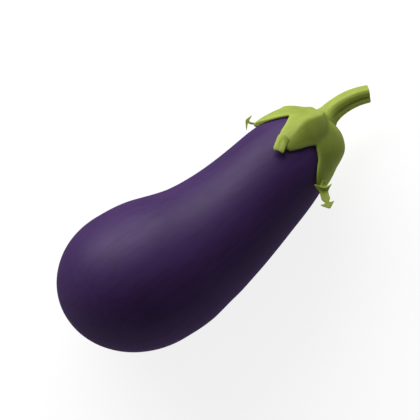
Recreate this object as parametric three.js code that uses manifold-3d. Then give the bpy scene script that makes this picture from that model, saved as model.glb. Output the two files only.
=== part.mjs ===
// An eggplant as picked, lying on its side on a flat surface.
// Millimetres, +Z up. +X runs from the blossom end to the stem, +Y is the side the stem leans to.
// Three bodies: the fruit, the calyx that grips its crown, and the stem on top of the calyx.
import * as THREE from 'three';
import { mergeVertices } from 'three/addons/utils/BufferGeometryUtils.js';
import Module from 'manifold-3d';

const wasm = await Module();
wasm.setup();

const rad = THREE.MathUtils.degToRad;
const lerp = THREE.MathUtils.lerp;
const smooth = (value, from, to) => THREE.MathUtils.smoothstep(value, from, to);

// ---- Driving dimensions ----
const gap = 0.45;                 // air left between two bodies that touch

const fruitLength = 189;          // blossom end to the top of the crown, under the calyx
const bellyRadius = 44;           // the thickest round of the fruit
const bellyAt = 49;               // how far the thickest round is from the blossom end
const neckRadius = 29.5;          // the slim end of the fruit, just below the calyx
const neckTaper = 0.1;            // how fast the neck still narrows there
const crownDepth = 43;            // length of the rounded crown above the neck
const flatDepth = 0.6;            // how much of the belly is pressed flat where it rests

const bendAt = 94;                // where the fruit swings furthest to the -Y side
const bendSwing = 5.5;            // how far it swings there
const blossomRise = 2.9;          // the blossom end comes back to the +Y side by this much
const crownRise = 4.4;            // and the crown by this much

const lobeCount = 5;
const firstLobe = rad(22);        // turn of the first lobe from straight up, towards +Y
const capReach = 26.5;            // from the crown top over the shoulder to the notches
const capThickness = 1.8;         // of the calyx between two lobes, at the notch
const capBulge = 3.1;             // it is thicker by this much over the shoulder
const crestHeight = 1.9;          // the ridge along each lobe stands this much higher
const bladeEndWidth = 11;         // width of a lobe where its narrow strip begins
const stripWidth = 4.6;           // width of the strip at the end of a lobe
const tailWidth = 6.6;            // the strip flares to this at its tip
const tailFork = 2.6;             // and its tip is forked this deep
const stripThickness = 1.5;

const seatRadius = 6.9;           // the raised seat the stem grows from
const seatRise = 4.45;            // height of the middle of the seat above the crown top
const seatShift = 5.1;            // the seat sits off the middle, towards +Y
const seatLean = rad(12);         // and faces to +Y by this angle
const stemRadius = 6.3;           // the stem a little above its flared foot
const stemTipRadius = 5.1;        // at the cut end
const stemReach = 28.5;           // how far the stem runs on beyond its seat
const stemDrop = 3.4;             // and how far its cut end has come back to the -Y side
const stemEndLean = rad(-26);     // it leaves square to its seat and curves back to this angle

// Blade: notch to strip. Strip: its length. Lift: how far its tip stands off the fruit.
// Sway: how far the tip has moved sideways, positive towards the next lobe.
const lobes = [
  { blade: 17.5, strip: 6, lift: 3.5, sway: -4 },
  { blade: 20, strip: 7, lift: 6, sway: 0 },
  { blade: 14, strip: 8, lift: 0.6, sway: 1.5 },
  { blade: 13.5, strip: 7, lift: 5, sway: -1.5 },
  { blade: 14, strip: 6.5, lift: 9, sway: -8 },
];

// ---- The outline of the fruit: radius against distance from the blossom end ----
const neckAt = fruitLength - crownDepth;
const vec2 = (x, y) => new THREE.Vector2(x, y);
const blossomEnd = new THREE.EllipseCurve(bellyAt, 0, bellyAt, bellyRadius, Math.PI, Math.PI / 2, true);
const neckHandle = (neckAt - bellyAt) * 0.84;
const neck = new THREE.CubicBezierCurve(
  vec2(bellyAt, bellyRadius), vec2(bellyAt + (neckAt - bellyAt) * 0.37, bellyRadius),
  vec2(neckAt - neckHandle, neckRadius + neckTaper * neckHandle), vec2(neckAt, neckRadius));
const crown = new THREE.CubicBezierCurve(
  vec2(neckAt, neckRadius), vec2(neckAt + crownDepth * 0.45, neckRadius - neckTaper * crownDepth * 0.45),
  vec2(fruitLength, neckRadius * 0.75), vec2(fruitLength, 0));
const outline = [
  ...blossomEnd.getSpacedPoints(15),
  ...neck.getSpacedPoints(14).slice(1),
  ...crown.getSpacedPoints(12).slice(1),
];

// ---- The bend: how far the middle of the fruit swings sideways at a distance ----
const bend = [
  new THREE.CubicBezierCurve(
    vec2(0, blossomRise), vec2(bendAt * 0.64, -bendSwing * 0.13),
    vec2(bendAt * 0.9, -bendSwing), vec2(bendAt, -bendSwing)),
  new THREE.CubicBezierCurve(
    vec2(bendAt, -bendSwing), vec2(lerp(bendAt, fruitLength, 0.4), -bendSwing),
    vec2(lerp(bendAt, fruitLength, 0.63), crownRise), vec2(fruitLength, crownRise)),
];
const bendPoints = bend.flatMap((curve) => curve.getPoints(60));

function middleAt(x) {
  if (x >= fruitLength) return crownRise;
  let i = 1;
  while (i < bendPoints.length - 1 && bendPoints[i].x < x) i += 1;
  const [a, b] = [bendPoints[i - 1], bendPoints[i]];
  return b.x > a.x ? lerp(a.y, b.y, (x - a.x) / (b.x - a.x)) : b.y;
}

// A point at distance x along the fruit, at a radius and a turn from straight up towards +Y.
function around(x, radius, turn) {
  return new THREE.Vector3(x, middleAt(x) + radius * Math.sin(turn), radius * Math.cos(turn));
}

// ---- Closed bodies from rings of points ----
function solid(points, faces) {
  const geometry = new THREE.BufferGeometry();
  geometry.setAttribute('position', new THREE.Float32BufferAttribute(points.flatMap((p) => p.toArray()), 3));
  geometry.setIndex(faces.flat());
  return geometry;
}

// Rings run along the body, each turning the same way; both ends are closed to a middle point.
function loft(rings, startPoint, endPoint) {
  const count = rings[0].length;
  const points = [startPoint, ...rings.flat(), endPoint];
  const at = (ring, i) => 1 + ring * count + (i % count);
  const faces = [];
  for (let i = 0; i < count; i += 1) {
    faces.push([0, at(0, i + 1), at(0, i)]);
    faces.push([points.length - 1, at(rings.length - 1, i), at(rings.length - 1, i + 1)]);
    for (let ring = 0; ring < rings.length - 1; ring += 1) {
      const [a, b, c, d] = [at(ring, i), at(ring, i + 1), at(ring + 1, i + 1), at(ring + 1, i)];
      faces.push([a, b, c], [a, c, d]);
    }
  }
  return solid(points, faces);
}

// ---- Fruit ----
const fruitSides = 48;
const fruitRings = outline.slice(1, -1).map(({ x, y }) => (
  Array.from({ length: fruitSides }, (_, i) => around(x, y, -i / fruitSides * 2 * Math.PI))));
const wholeFruit = loft(fruitRings, around(0, 0, 0), around(fruitLength, 0, 0));

// ---- The skin line from the crown top down the neck, measured along the skin ----
const skinPoints = [...crown.getSpacedPoints(80).reverse(), ...neck.getSpacedPoints(60).reverse().slice(1)];
const skinRun = [0];
for (let i = 1; i < skinPoints.length; i += 1) {
  skinRun.push(skinRun[i - 1] + skinPoints[i].distanceTo(skinPoints[i - 1]));
}

// The point a given run down the skin line, moved out from the skin by a height.
function offSkin(run, height, turn) {
  let i = 1;
  while (i < skinRun.length - 1 && skinRun[i] < run) i += 1;
  const [a, b] = [skinPoints[i - 1], skinPoints[i]];
  const share = (run - skinRun[i - 1]) / (skinRun[i] - skinRun[i - 1]);
  const along = b.clone().sub(a).normalize();
  const x = lerp(a.x, b.x, share) + along.y * height;
  const radius = lerp(a.y, b.y, share) - along.x * height;
  return { x, radius, point: around(x, Math.max(radius, 0), turn) };
}

// ---- Calyx: a cap that parts into lobes at the notches ----
const lobeColumns = 8;
const capRows = 7;
const bladeRows = 6;
const stripRows = 5;
const sector = 2 * Math.PI / lobeCount;
const seatRun = seatRadius;

// Where a row of a lobe lies down the skin line, and how wide and lifted it is there.
function lobeRow(lobe, row) {
  if (row <= capRows) {
    const share = row / capRows;
    return { run: lerp(seatRun, capReach, share), share, halfWidth: null, lift: 0, part: 'cap' };
  }
  const halfNotch = offSkin(capReach, 0, 0).radius * sector / 2;
  if (row <= capRows + bladeRows) {
    const share = (row - capRows) / bladeRows;
    const swell = Math.sin(Math.PI * share) * lobe.blade * 0.05;
    const halfWidth = lerp(halfNotch, bladeEndWidth / 2, share ** 0.8) + swell;
    return { run: capReach + lobe.blade * share, share, halfWidth, lift: 0, part: 'blade' };
  }
  const share = (row - capRows - bladeRows) / stripRows;
  const flare = smooth(share, 0.5, 1);
  const halfWidth = lerp(stripWidth, tailWidth, flare) / 2;
  const run = capReach + lobe.blade + lobe.strip * lerp(0.08, 1, share);
  return { run, share, halfWidth, fork: flare * tailFork, lift: lobe.lift * share * share, part: 'strip' };
}

// Height of the outer side over the skin: a ridge runs down the middle of each lobe, sharp near
// the seat and rounder towards the tip. Across runs from -1 to 1 over the width of the lobe.
function outerHeight(place, across) {
  const sharp = 1 - Math.abs(across);
  const round = 1 - across * across;
  if (place.part === 'cap') {
    const bulge = capBulge * Math.sin(Math.PI * Math.sqrt(place.share));
    const crest = crestHeight * smooth(place.share, 0, 0.8) * lerp(sharp, round, place.share);
    return gap + lerp(seatRise, capThickness, place.share) + bulge + crest;
  }
  if (place.part === 'blade') {
    const crest = crestHeight * round * (1 - 0.7 * Math.sqrt(place.share));
    return gap + lerp(capThickness, stripThickness, place.share) + crest;
  }
  return gap + place.lift + stripThickness + 0.25 * crestHeight * round;
}

// The rim of the seat, at a turn round its middle.
const seatMiddle = around(fruitLength + gap + seatRise, 0, 0).add(new THREE.Vector3(0, seatShift, 0));
const seatFacing = new THREE.Vector3(Math.cos(seatLean), Math.sin(seatLean), 0);
const seatSide = new THREE.Vector3(-Math.sin(seatLean), Math.cos(seatLean), 0);
const up = new THREE.Vector3(0, 0, 1);

function seatRim(turn) {
  return seatMiddle.clone()
    .addScaledVector(seatSide, seatRadius * Math.sin(turn))
    .addScaledVector(up, seatRadius * Math.cos(turn));
}

function calyxGeometry() {
  const points = [];
  const faces = [];
  const shared = new Map();
  const lastRow = capRows + bladeRows + stripRows;

  // Index of a point of a lobe, on its outer or inner side. Neighbouring lobes share the points
  // of their common edge down to the notch.
  function point(lobeIndex, row, column, outer) {
    const joined = row <= capRows && column === lobeColumns;
    const owner = joined ? (lobeIndex + 1) % lobeCount : lobeIndex;
    const key = [owner, row, joined ? 0 : column, outer].join();
    if (!shared.has(key)) {
      const lobe = lobes[owner];
      const place = lobeRow(lobe, row);
      const across = (joined ? 0 : column) / lobeColumns * 2 - 1;
      const spread = place.halfWidth === null
        ? sector / 2
        : place.halfWidth / (offSkin(place.run, 0, 0).radius + place.lift);
      const past = Math.max(0, (place.run - capReach) / (lobe.blade + lobe.strip));
      const sway = lobe.sway * past * past / (neckRadius + place.lift);
      const turn = firstLobe + sector * owner + across * spread + sway;
      const height = outer ? outerHeight(place, across) : gap + place.lift;
      const fork = (place.fork ?? 0) * (0.5 - Math.abs(across));
      const spot = offSkin(place.run - fork, height, turn).point;
      if (outer && place.part === 'cap') spot.y += seatShift * (1 - smooth(place.share, 0, 0.5));
      if (outer && row === 0) spot.copy(seatRim(turn));
      shared.set(key, points.push(spot) - 1);
    }
    return shared.get(key);
  }

  const outerMiddle = points.push(seatMiddle) - 1;
  const innerMiddle = points.push(around(fruitLength + gap, 0, 0)) - 1;
  const quad = (a, b, c, d) => faces.push([a, b, c], [a, c, d]);

  for (let k = 0; k < lobeCount; k += 1) {
    for (let column = 0; column < lobeColumns; column += 1) {
      faces.push([outerMiddle, point(k, 0, column + 1, true), point(k, 0, column, true)]);
      faces.push([innerMiddle, point(k, 0, column, false), point(k, 0, column + 1, false)]);
      for (let row = 0; row < lastRow; row += 1) {
        const corners = (outer) => [
          point(k, row, column, outer), point(k, row, column + 1, outer),
          point(k, row + 1, column + 1, outer), point(k, row + 1, column, outer)];
        quad(...corners(true));
        quad(...corners(false).reverse());
      }
      quad(point(k, lastRow, column, true), point(k, lastRow, column + 1, true),
        point(k, lastRow, column + 1, false), point(k, lastRow, column, false));
    }
    for (let row = capRows; row < lastRow; row += 1) {
      quad(point(k, row, 0, true), point(k, row + 1, 0, true),
        point(k, row + 1, 0, false), point(k, row, 0, false));
      quad(point(k, row + 1, lobeColumns, true), point(k, row, lobeColumns, true),
        point(k, row, lobeColumns, false), point(k, row + 1, lobeColumns, false));
    }
  }
  return solid(points, faces);
}

// ---- Stem: a curved stalk with rounded corners, lengthwise grooves and a flared foot ----
const stemSides = 30;
const stemSteps = 14;
const stemFoot = seatMiddle.clone().addScaledVector(seatFacing, gap);
const stemEnd = stemFoot.clone().add(new THREE.Vector3(stemReach, -stemDrop, 0));
const stemEndFacing = new THREE.Vector3(Math.cos(stemEndLean), Math.sin(stemEndLean), 0);
const stemCurve = new THREE.CubicBezierCurve3(
  stemFoot, stemFoot.clone().addScaledVector(seatFacing, stemReach * 0.36),
  stemEnd.clone().addScaledVector(stemEndFacing, -stemReach * 0.36), stemEnd);

function stemGeometry() {
  const rings = [];
  for (let step = 0; step <= stemSteps; step += 1) {
    const share = step / stemSteps;
    const middle = stemCurve.getPoint(share);
    const ahead = stemCurve.getTangent(share);
    const side = new THREE.Vector3().crossVectors(up, ahead).normalize();
    const foot = (seatRadius - stemRadius) * (1 - smooth(share, 0, 0.3));
    const radius = lerp(stemRadius, stemTipRadius, share) + foot;
    rings.push(Array.from({ length: stemSides }, (_, i) => {
      const turn = -i / stemSides * 2 * Math.PI;
      const groove = 0.35 * smooth(share, 0, 0.2) * (1 - Math.cos(5 * turn)) / 2;
      return middle.clone()
        .addScaledVector(up, (radius - groove) * Math.cos(turn))
        .addScaledVector(side, (radius - groove) * Math.sin(turn));
    }));
  }
  return loft(rings, stemCurve.getPoint(0), stemCurve.getPoint(1));
}

// ---- Rest pose: the neck sinks until the calyx touches what the belly rests on ----
const calyxShape = calyxGeometry();
const stemShape = stemGeometry();

function lowest(geometry, tilt) {
  const { array } = geometry.getAttribute('position');
  let low = Infinity;
  for (let i = 0; i < array.length; i += 3) {
    low = Math.min(low, array[i + 2] * Math.cos(tilt) - array[i] * Math.sin(tilt));
  }
  return low;
}

let [level, steep] = [0, rad(20)];
for (let round = 0; round < 40; round += 1) {
  const tilt = (level + steep) / 2;
  if (lowest(calyxShape, tilt) > lowest(wholeFruit, tilt) + flatDepth) level = tilt;
  else steep = tilt;
}
const restTilt = (level + steep) / 2;
const restHeight = -(lowest(wholeFruit, restTilt) + flatDepth);

// The flat spot: the part of the belly below the surface is cut away.
function pressedFlat(geometry) {
  const plain = mergeVertices(geometry);
  const body = new wasm.Manifold(new wasm.Mesh({
    numProp: 3,
    vertProperties: plain.getAttribute('position').array,
    triVerts: new Uint32Array(plain.getIndex().array),
  }));
  const cut = body.trimByPlane([-Math.sin(restTilt), 0, Math.cos(restTilt)], -restHeight).getMesh();
  const result = new THREE.BufferGeometry();
  result.setAttribute('position', new THREE.Float32BufferAttribute(cut.vertProperties, 3));
  result.setIndex([...cut.triVerts]);
  return result;
}

// ---- The object ----
function piece(name, geometry, color, roughness) {
  geometry.computeVertexNormals();
  const mesh = new THREE.Mesh(geometry, new THREE.MeshStandardMaterial({ color, roughness, metalness: 0 }));
  mesh.name = name;
  return mesh;
}

const lying = new THREE.Group();
lying.rotation.y = restTilt;
lying.add(
  piece('fruit', pressedFlat(wholeFruit), '#33203f', 0.4),
  piece('calyx', calyxShape, '#8a9b45', 0.6),
  piece('stem', stemShape, '#96a84c', 0.6),
);

const eggplant = new THREE.Group();
eggplant.name = 'eggplant';
eggplant.add(lying);
eggplant.updateMatrixWorld(true);
const bounds = new THREE.Box3().setFromObject(eggplant, true);
lying.position.set(-(bounds.min.x + bounds.max.x) / 2, -(bounds.min.y + bounds.max.y) / 2, restHeight);

export default eggplant;
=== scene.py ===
"""An eggplant as picked, lying on its side: satin purple fruit, green calyx and cut stem."""

import math

import bmesh
import bpy
from bpy.props import FloatProperty, FloatVectorProperty, IntProperty, PointerProperty, StringProperty
from mathutils import Matrix, Vector
from mathutils.geometry import interpolate_bezier


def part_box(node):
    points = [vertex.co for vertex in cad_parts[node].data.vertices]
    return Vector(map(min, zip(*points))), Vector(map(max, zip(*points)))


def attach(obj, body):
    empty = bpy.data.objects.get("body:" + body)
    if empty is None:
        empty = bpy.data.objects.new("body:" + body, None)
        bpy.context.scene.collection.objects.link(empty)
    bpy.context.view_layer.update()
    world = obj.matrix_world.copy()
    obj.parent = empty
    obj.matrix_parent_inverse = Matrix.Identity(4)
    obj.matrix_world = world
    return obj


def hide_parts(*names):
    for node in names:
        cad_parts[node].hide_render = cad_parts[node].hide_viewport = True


bl_info = {
    "name": "Eggplant",
    "version": (1, 0, 0),
    "blender": (4, 5, 0),
    "location": "3D View > Sidebar > Eggplant",
    "description": "Builds an eggplant around its packed frame: fruit, calyx, stem and studio",
    "category": "Object",
}

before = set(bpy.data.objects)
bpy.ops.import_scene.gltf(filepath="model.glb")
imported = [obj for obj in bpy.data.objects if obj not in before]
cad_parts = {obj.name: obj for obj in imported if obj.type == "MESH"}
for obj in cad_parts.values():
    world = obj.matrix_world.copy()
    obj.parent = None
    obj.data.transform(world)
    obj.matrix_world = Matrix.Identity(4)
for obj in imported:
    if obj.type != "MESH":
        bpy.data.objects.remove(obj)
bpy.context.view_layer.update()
MM = 0.001


def linear(code):
    """An sRGB hex colour as linear RGBA."""
    channels = [int(code[i:i + 2], 16) / 255 for i in (1, 3, 5)]
    return [c / 12.92 if c <= 0.04045 else ((c + 0.055) / 1.055) ** 2.4 for c in channels] + [1.0]


def add(tree, kind, links=None, **settings):
    """Adds a node. Settings name its properties; links name its inputs and give a value, a socket
    or a node, whose first output in use is then meant."""
    node = tree.nodes.new(kind)
    for key, value in settings.items():
        setattr(node, key, value)
    for key, value in (links or {}).items():
        socket = node.inputs[key]
        if isinstance(value, bpy.types.Node):
            value = next(output for output in value.outputs if output.enabled)
        if isinstance(value, bpy.types.NodeSocket):
            tree.links.new(value, socket)
        else:
            socket.default_value = value
    return node


def mix(low, high, share):
    return low + (high - low) * share


def ease(value, low, high):
    """A smooth step from 0 at low to 1 at high."""
    share = min(max((value - low) / (high - low), 0.0), 1.0)
    return share * share * (3 - 2 * share)


def hump(value, middle, width):
    """A smooth hump: 1 at its middle, and 0.37 one width to either side."""
    return math.exp(-((value - middle) / width) ** 2)


# ---- Sizes and colours a user would change ----


def size(name, description, value):
    return FloatProperty(name=name, description=description, default=value * MM,
                         unit="LENGTH", subtype="DISTANCE")


def turn(name, description, degrees):
    return FloatProperty(name=name, description=description, default=math.radians(degrees), subtype="ANGLE")


def colour(name, description, code):
    return StringProperty(name=name, description=description + ", as an sRGB hex value", default=code)


class FruitSizes(bpy.types.PropertyGroup):
    length: size("Length", "Blossom end to the top of the crown under the calyx", 189)
    belly: size("Belly radius", "Radius of the thickest round", 44)
    belly_at: size("Belly place", "Distance of the thickest round from the blossom end", 49)
    neck: size("Neck radius", "Radius of the slim end just below the calyx", 29.5)
    neck_taper: FloatProperty(name="Neck taper", description="How fast the neck still narrows", default=0.1)
    crown: size("Crown depth", "Length of the rounded crown above the neck", 43)
    bend_at: size("Bend place", "Where the fruit swings furthest to one side", 94)
    bend: size("Bend swing", "How far it swings there", 5.5)
    blossom_rise: size("Blossom rise", "How far the blossom end comes back", 2.9)
    crown_rise: size("Crown rise", "How far the crown comes back", 4.4)
    tilt: turn("Rest tilt", "How far the neck sinks as the fruit lies", 7.378)
    flat: size("Flat depth", "How much of the belly is pressed flat where it rests", 0.6)
    uneven: size("Unevenness", "Depth of the soft waves a grown surface has", 0.45)
    seed: IntProperty(name="Seed", description="Seed of the waves", default=4)
    rings: IntProperty(name="Rings", description="Steps along the fruit", default=200)
    sides: IntProperty(name="Sides", description="Steps round the fruit", default=192)
    skin: colour("Skin", "Purple of the skin in full light", "#3D2257")
    skin_deep: colour("Deep skin", "Darker streaks in the skin", "#311A47")
    skin_pale: colour("Pale skin", "Skin that grew under the calyx", "#5A3A80")
    pore: colour("Pores", "Tiny paler pores in the skin", "#6E6080")
    scar: colour("Blossom scar", "Dry scar left by the flower", "#6E5442")


class CalyxSizes(bpy.types.PropertyGroup):
    gap: size("Gap", "Air between the calyx and the skin", 0.25)
    thickness: size("Thickness", "At the notches between two lobes", 1.9)
    bulge: size("Shoulder bulge", "Extra thickness over the shoulder", 3.5)
    crest: size("Crest", "Height of the ridge where a lobe begins", 2.4)
    swell: size("Swell", "Extra height of the ridges in the middle of the cap", 0.8)
    seat: size("Seat radius", "Radius where the stem grows out", 6.9)
    seat_rise: size("Seat rise", "Height of the seat above the crown top", 4.65)
    seat_shift: size("Seat shift", "How far the seat sits to one side", 5.1)
    seat_lean: turn("Seat lean", "How far the seat faces to that side", 12)
    strip_thickness: size("Strip thickness", "Thickness of the narrow strips the lobes end in", 1.5)
    green: colour("Green", "Fleshy green of the calyx", "#97A642")
    green_deep: colour("Deep green", "Green in the grooves", "#788632")
    green_painted_shade: colour("Hollow green", "Deepest green, in the hollow between two lobes", "#6C7A2C")
    # Painted shade: a darker green laid on the side of the cap that faces away from the light.
    green_edge: colour("Edge green", "Paler green along the edges and ridges", "#A3B54F")
    dry: colour("Dry tip", "Tips that have begun to dry", "#6F7029")


class StemSizes(bpy.types.PropertyGroup):
    radius: size("Radius", "Of the stem a little above its foot", 6.3)
    tip_radius: size("Tip radius", "At the cut end", 5.1)
    reach: size("Reach", "How far the stem runs on beyond its seat", 29.8)
    drop: size("Drop", "How far the cut end comes back to the other side", 3.3)
    end_lean: turn("End lean", "Direction of the cut end", -26)
    groove: size("Groove", "Depth of the lengthwise groove", 1.25)
    groove_turn: turn("Groove turn", "Where the groove lies, from the top", -34)
    ribs: size("Ribs", "Depth of the fine lengthwise ribs", 0.045)
    cut: colour("Cut face", "Moist core of the cut end", "#8C9652")
    cut_ring: colour("Cut ring", "Woody ring round the core", "#727B3E")
    cut_bark: colour("Cut bark", "Green between the ring and the rim", "#87924C")
    cut_dry: colour("Cut rim", "Rim of the cut end, gone dark", "#5B5A28")


class StudioSizes(bpy.types.PropertyGroup):
    floor: FloatVectorProperty(name="Floor", description="Size of the floor", size=2,
                               default=(40.0, 40.0), unit="LENGTH")
    lens: FloatProperty(name="Lens", description="Focal length", default=800, subtype="DISTANCE_CAMERA")
    view_width: size("View width", "What the frame takes in across the object", 246.5)
    view_turn: turn("View turn", "How far the frame is turned clockwise, seen from above", 36.5)
    view_middle: FloatVectorProperty(name="View middle", description="Point in the middle of the frame",
                                     default=(-0.0065, 0.008, 0.04), unit="LENGTH", subtype="TRANSLATION")
    key_heading: turn("Key heading", "Direction the main light stands in, from the fruit's own axis", 78)
    key_elevation: turn("Key elevation", "Height of the main light", 21.5)
    key_size: FloatVectorProperty(name="Key size", description="Length and height of the main light", size=2,
                                  default=(1.8, 1.05), unit="LENGTH")
    key_away: FloatProperty(name="Key distance", description="Distance of the main light",
                            default=1.3, unit="LENGTH")
    key_power: FloatProperty(name="Key power", description="Power of the main light",
                             default=27.3, unit="POWER")
    fill: FloatProperty(name="Fill", description="Strength of the light from all round", default=0.15)
    room_colour: colour("Room colour", "Colour of the light from all round", "#F4F6FA")
    floor_glow: FloatProperty(name="Floor glow", default=0.83,
                              description="Light the floor gives off, as a light table")
    floor_colour: colour("Floor colour", "Pale paper sweep", "#9A9A9A")


# ---- The form all three pieces share ----


def span(points, steps=90):
    """Points of a Bezier stretch given by start, handle, handle and end, as pairs."""
    knots = [Vector((x, y, 0)) for x, y in points]
    return interpolate_bezier(*knots, steps)


def fruit_outline(s):
    """The fruit's outline as three Bezier stretches: radius against distance along."""
    # The handle length, as a share of the radius, that draws a quarter round.
    round_share = 0.5523
    neck_at = s.length - s.crown
    run = neck_at - s.belly_at
    handle = run * 0.84
    lead = s.crown * 0.45
    return [
        [(0, 0), (0, s.belly * round_share),
         (s.belly_at * (1 - round_share), s.belly), (s.belly_at, s.belly)],
        [(s.belly_at, s.belly), (s.belly_at + run * 0.37, s.belly),
         (neck_at - handle, s.neck + s.neck_taper * handle), (neck_at, s.neck)],
        [(neck_at, s.neck), (neck_at + lead, s.neck - s.neck_taper * lead),
         (s.length, s.neck * 0.75), (s.length, 0)],
    ]


def fruit_bend(s):
    """Two Bezier stretches: how far the middle of the fruit lies to the side, against distance along."""
    return [
        [(0, s.blossom_rise), (s.bend_at * 0.64, -s.bend * 0.13),
         (s.bend_at * 0.9, -s.bend), (s.bend_at, -s.bend)],
        [(s.bend_at, -s.bend), (mix(s.bend_at, s.length, 0.4), -s.bend),
         (mix(s.bend_at, s.length, 0.63), s.crown_rise), (s.length, s.crown_rise)],
    ]


class Form:
    """The lie of the fruit: its middle line, its skin line from the crown down, and its rest."""

    def __init__(self, s):
        self.s = s
        self.middle_points = [p for part in fruit_bend(s) for p in span(part)]
        first, neck, crown = (span(part) for part in fruit_outline(s))
        self.outline = first + neck[1:] + crown[1:]
        self.skin = list(reversed(crown)) + list(reversed(neck))[1:]
        self.runs = [0.0]
        for a, b in zip(self.skin, self.skin[1:]):
            self.runs.append(self.runs[-1] + (b - a).length)
        self.rest = self.rest_matrix()

    def middle(self, x):
        points = self.middle_points
        if x >= points[-1].x:
            return points[-1].y
        for a, b in zip(points, points[1:]):
            if b.x >= x and b.x > a.x:
                return mix(a.y, b.y, max(x - a.x, 0) / (b.x - a.x))
        return points[-1].y

    def around(self, x, radius, angle):
        """A point at a distance along, a radius and a turn from straight up."""
        return Vector((x, self.middle(x) + radius * math.sin(angle), radius * math.cos(angle)))

    def on_skin(self, run):
        """Distance along, radius and the outward direction at a run down the skin line."""
        i = 1
        while i < len(self.runs) - 1 and self.runs[i] < run:
            i += 1
        a, b = self.skin[i - 1], self.skin[i]
        share = (run - self.runs[i - 1]) / (self.runs[i] - self.runs[i - 1])
        before = self.skin[max(i - 4, 0)]
        after = self.skin[min(i + 3, len(self.skin) - 1)]
        line = (after - before).normalized()
        return mix(a.x, b.x, share), mix(a.y, b.y, share), Vector((line.y, -line.x))

    def off_skin(self, run, height, angle):
        x, radius, out = self.on_skin(run)
        return self.around(x + out.x * height, max(radius + out.y * height, 0.0), angle)

    def rest_matrix(self):
        """Sinks the neck, sets the flat spot on z = 0 and moves the fruit over its packed place."""
        tilt = Matrix.Rotation(self.s.tilt, 4, "Y")
        ring = [math.tau * k / 64 for k in range(64)]
        points = [tilt @ self.around(p.x, p.y, a) for p in self.outline for a in ring]
        low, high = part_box("fruit")
        shift = Vector((
            low.x - min(p.x for p in points),
            (low.y + high.y - min(p.y for p in points) - max(p.y for p in points)) / 2,
            -min(p.z for p in points) - self.s.flat))
        return Matrix.Translation(shift) @ tilt

    def seat(self, c):
        """Middle of the stem's seat, its outward direction and its sideways direction."""
        middle = self.around(self.s.length + c.seat_rise, 0, 0) + Vector((0, c.seat_shift, 0))
        facing = Vector((math.cos(c.seat_lean), math.sin(c.seat_lean), 0))
        return middle, facing, Vector((-facing.y, facing.x, 0))


# ---- Making pieces ----


def finish_mesh(mesh, merge=0.00001):
    """Merges doubles, closes what is open only by them, and turns every face outwards."""
    work = bmesh.new()
    work.from_mesh(mesh)
    bmesh.ops.remove_doubles(work, verts=work.verts, dist=merge)
    bmesh.ops.dissolve_degenerate(work, edges=work.edges, dist=merge * 0.1)
    bmesh.ops.recalc_face_normals(work, faces=work.faces)
    work.to_mesh(mesh)
    work.free()
    mesh.polygons.foreach_set("use_smooth", [True] * len(mesh.polygons))
    mesh.update()


def link(name, mesh):
    thing = bpy.data.objects.new(name, mesh)
    bpy.context.scene.collection.objects.link(thing)
    return thing


def grow(name, tree, sizes):
    """Runs a Geometry Nodes tree with its named inputs set and keeps the result as a plain mesh."""
    seedling = link(name + "_rule", bpy.data.meshes.new(name + "_rule"))
    modifier = seedling.modifiers.new("Form", "NODES")
    modifier.node_group = tree
    for item in tree.interface.items_tree:
        if item.item_type == "SOCKET" and item.in_out == "INPUT" and item.name in sizes:
            modifier[item.identifier] = sizes[item.name]
    depsgraph = bpy.context.evaluated_depsgraph_get()
    mesh = bpy.data.meshes.new_from_object(seedling.evaluated_get(depsgraph), depsgraph=depsgraph)
    mesh.name = name
    bpy.data.objects.remove(seedling)
    finish_mesh(mesh)
    if len(mesh.polygons) < 100:
        raise RuntimeError(name + ": the form came out empty")
    return link(name, mesh)


def new_tree(name, inputs):
    """A Geometry Nodes tree with named inputs, given as (name, socket type, default)."""
    tree = bpy.data.node_groups.new(name, "GeometryNodeTree")
    tree.interface.new_socket("Geometry", in_out="OUTPUT", socket_type="NodeSocketGeometry")
    for label, kind, value in inputs:
        socket = tree.interface.new_socket(label, in_out="INPUT", socket_type=kind)
        socket.default_value = value
    start = add(tree, "NodeGroupInput")
    return tree, start.outputs


def stretch_inputs(prefix, stretches):
    """Names and values for the four knots of each Bezier stretch."""
    return {
        f"{prefix} {i + 1} {knot}": (x, y, 0.0)
        for i, stretch in enumerate(stretches)
        for knot, (x, y) in zip(("start", "start handle", "end handle", "end"), stretch)
    }


def stretches_in_tree(tree, knobs, prefix, count):
    """Joins the Bezier stretches into one curve that can be sampled by its length."""
    joined = add(tree, "GeometryNodeJoinGeometry")
    # What is linked last comes first in the joined curve.
    for i in reversed(range(count)):
        part = add(tree, "GeometryNodeCurvePrimitiveBezierSegment", {
            "Resolution": 96,
            "Start": knobs[f"{prefix} {i + 1} start"],
            "Start Handle": knobs[f"{prefix} {i + 1} start handle"],
            "End Handle": knobs[f"{prefix} {i + 1} end handle"],
            "End": knobs[f"{prefix} {i + 1} end"],
        }, mode="POSITION")
        tree.links.new(part.outputs["Curve"], joined.inputs["Geometry"])
    return joined.outputs["Geometry"]


# ---- Materials ----


def new_material(name):
    material = bpy.data.materials.new(name)
    material.use_nodes = True
    material.node_tree.nodes.clear()
    return material, material.node_tree


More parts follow.
